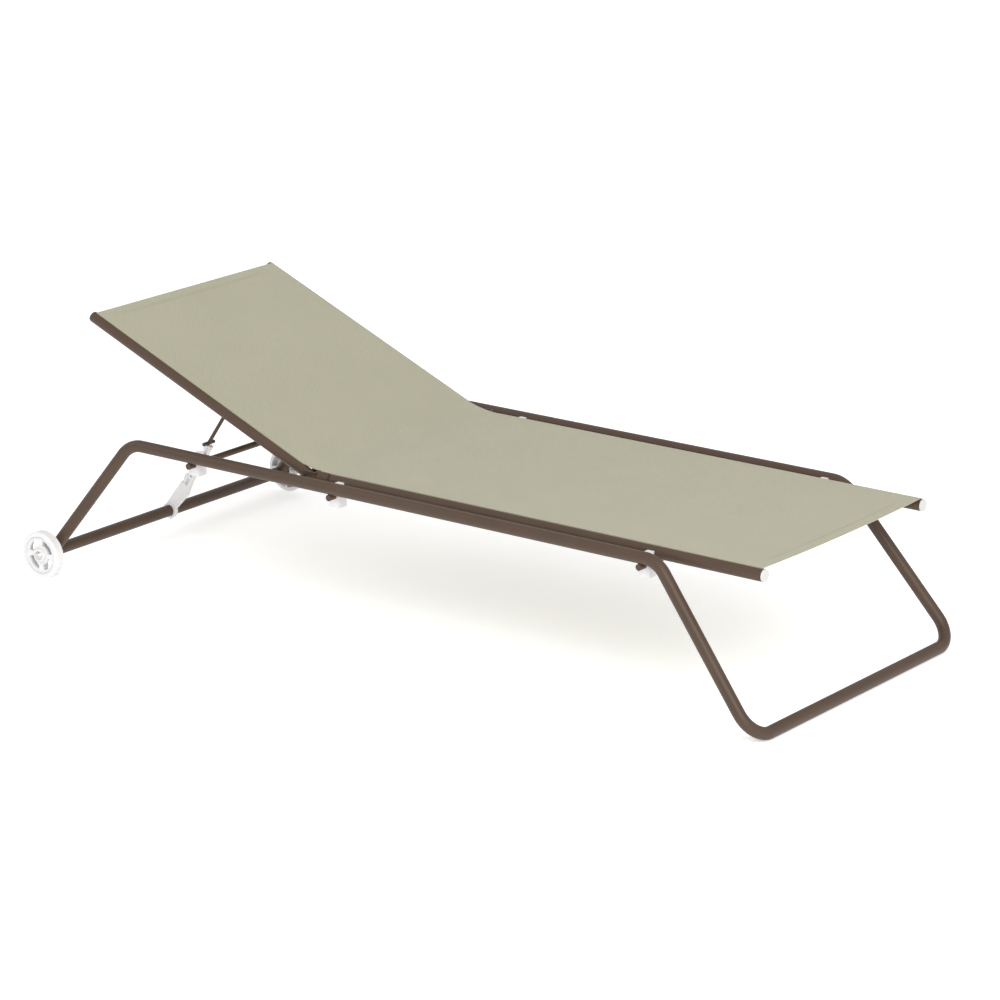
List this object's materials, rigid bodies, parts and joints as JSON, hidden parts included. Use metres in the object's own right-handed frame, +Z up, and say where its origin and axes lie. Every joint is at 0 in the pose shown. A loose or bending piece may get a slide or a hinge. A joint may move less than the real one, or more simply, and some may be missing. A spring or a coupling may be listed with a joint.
{
  "type": "reclining sun lounger",
  "caption": "Low reclining sun lounger with a bent tube frame, fabric sling, tilting back held by a strut in a toothed rack, and wheels at the head end.",
  "frame": {"origin": "on the floor, at the plan centre of the whole lounger in its rest pose", "axes": "+X towards the foot end, +Z up, +Y to the right of a person lying on it face up"},
  "size_m": [1.8254, 0.8356, 0.559],
  "materials": {
    "frame": "matt brown powder coat",
    "sling": "fine open weave in grey green",
    "white_plastic": "white moulded plastic",
    "grey_plastic": "light grey moulded plastic",
    "dark_plastic": "dark brown moulded plastic",
    "steel": "zinc plated",
    "dark_steel": "dark brown coat"
  },
  "bodies": {
    "base": {"rear_leg_left": "frame", "rear_leg_right": "frame", "side_rail_left": "frame", "side_rail_right": "frame", "front_leg_left": "frame", "front_leg_right": "frame", "floor_bar": "frame", "axle_tube": "frame", "cross_rod_head": "frame", "cross_rod_mid": "frame", "cross_rod_foot": "frame", "seat_rail_left": "frame", "seat_rail_right": "frame", "seat_plug_left": "grey_plastic", "seat_plug_right": "grey_plastic", "spacer_head_left": "white_plastic", "spacer_head_right": "white_plastic", "spacer_mid_left": "white_plastic", "spacer_mid_right": "white_plastic", "spacer_foot_left": "white_plastic", "spacer_foot_right": "white_plastic", "hinge_socket_left": "frame", "hinge_socket_right": "frame", "hinge_rod": "dark_steel", "hinge_nuts": "dark_steel", "rack": "white_plastic", "rack_screw": "steel", "axle_bolts": "steel", "seat_sling": "sling"},
    "wheel_left": {"wheel_left": "white_plastic"},
    "wheel_right": {"wheel_right": "white_plastic"},
    "back": {"back_rail_left": "frame", "back_rail_right": "frame", "back_plug_left": "dark_plastic", "back_plug_right": "dark_plastic", "spreader_head": "frame", "strut_bar": "frame", "strut_collars": "dark_plastic", "back_sling": "sling"},
    "strut": {"strut": "frame"}
  },
  "joints": [
    {"name": "back_recline", "type": "hinge", "parent": "base", "child": "back", "pos_m": [-0.22275, 0, 0.306], "axis": [0, 1, 0], "range_deg": [-22, 15]},
    {"name": "strut_swing", "type": "hinge", "parent": "back", "child": "strut", "pos_m": [-0.58491, 0, 0.45601], "axis": [0, 1, 0], "range_deg": [-45, 66]},
    {"name": "wheel_left_spin", "type": "hinge", "parent": "base", "child": "wheel_left", "pos_m": [-0.86275, -0.399, 0.05], "axis": [0, 1, 0], "continuous": true},
    {"name": "wheel_right_spin", "type": "hinge", "parent": "base", "child": "wheel_right", "pos_m": [-0.86275, 0.399, 0.05], "axis": [0, 1, 0], "continuous": true}
  ],
  "couplings": [
    {"joint": "strut_swing", "follows": "back_recline", "ratio": -3}
  ]
}
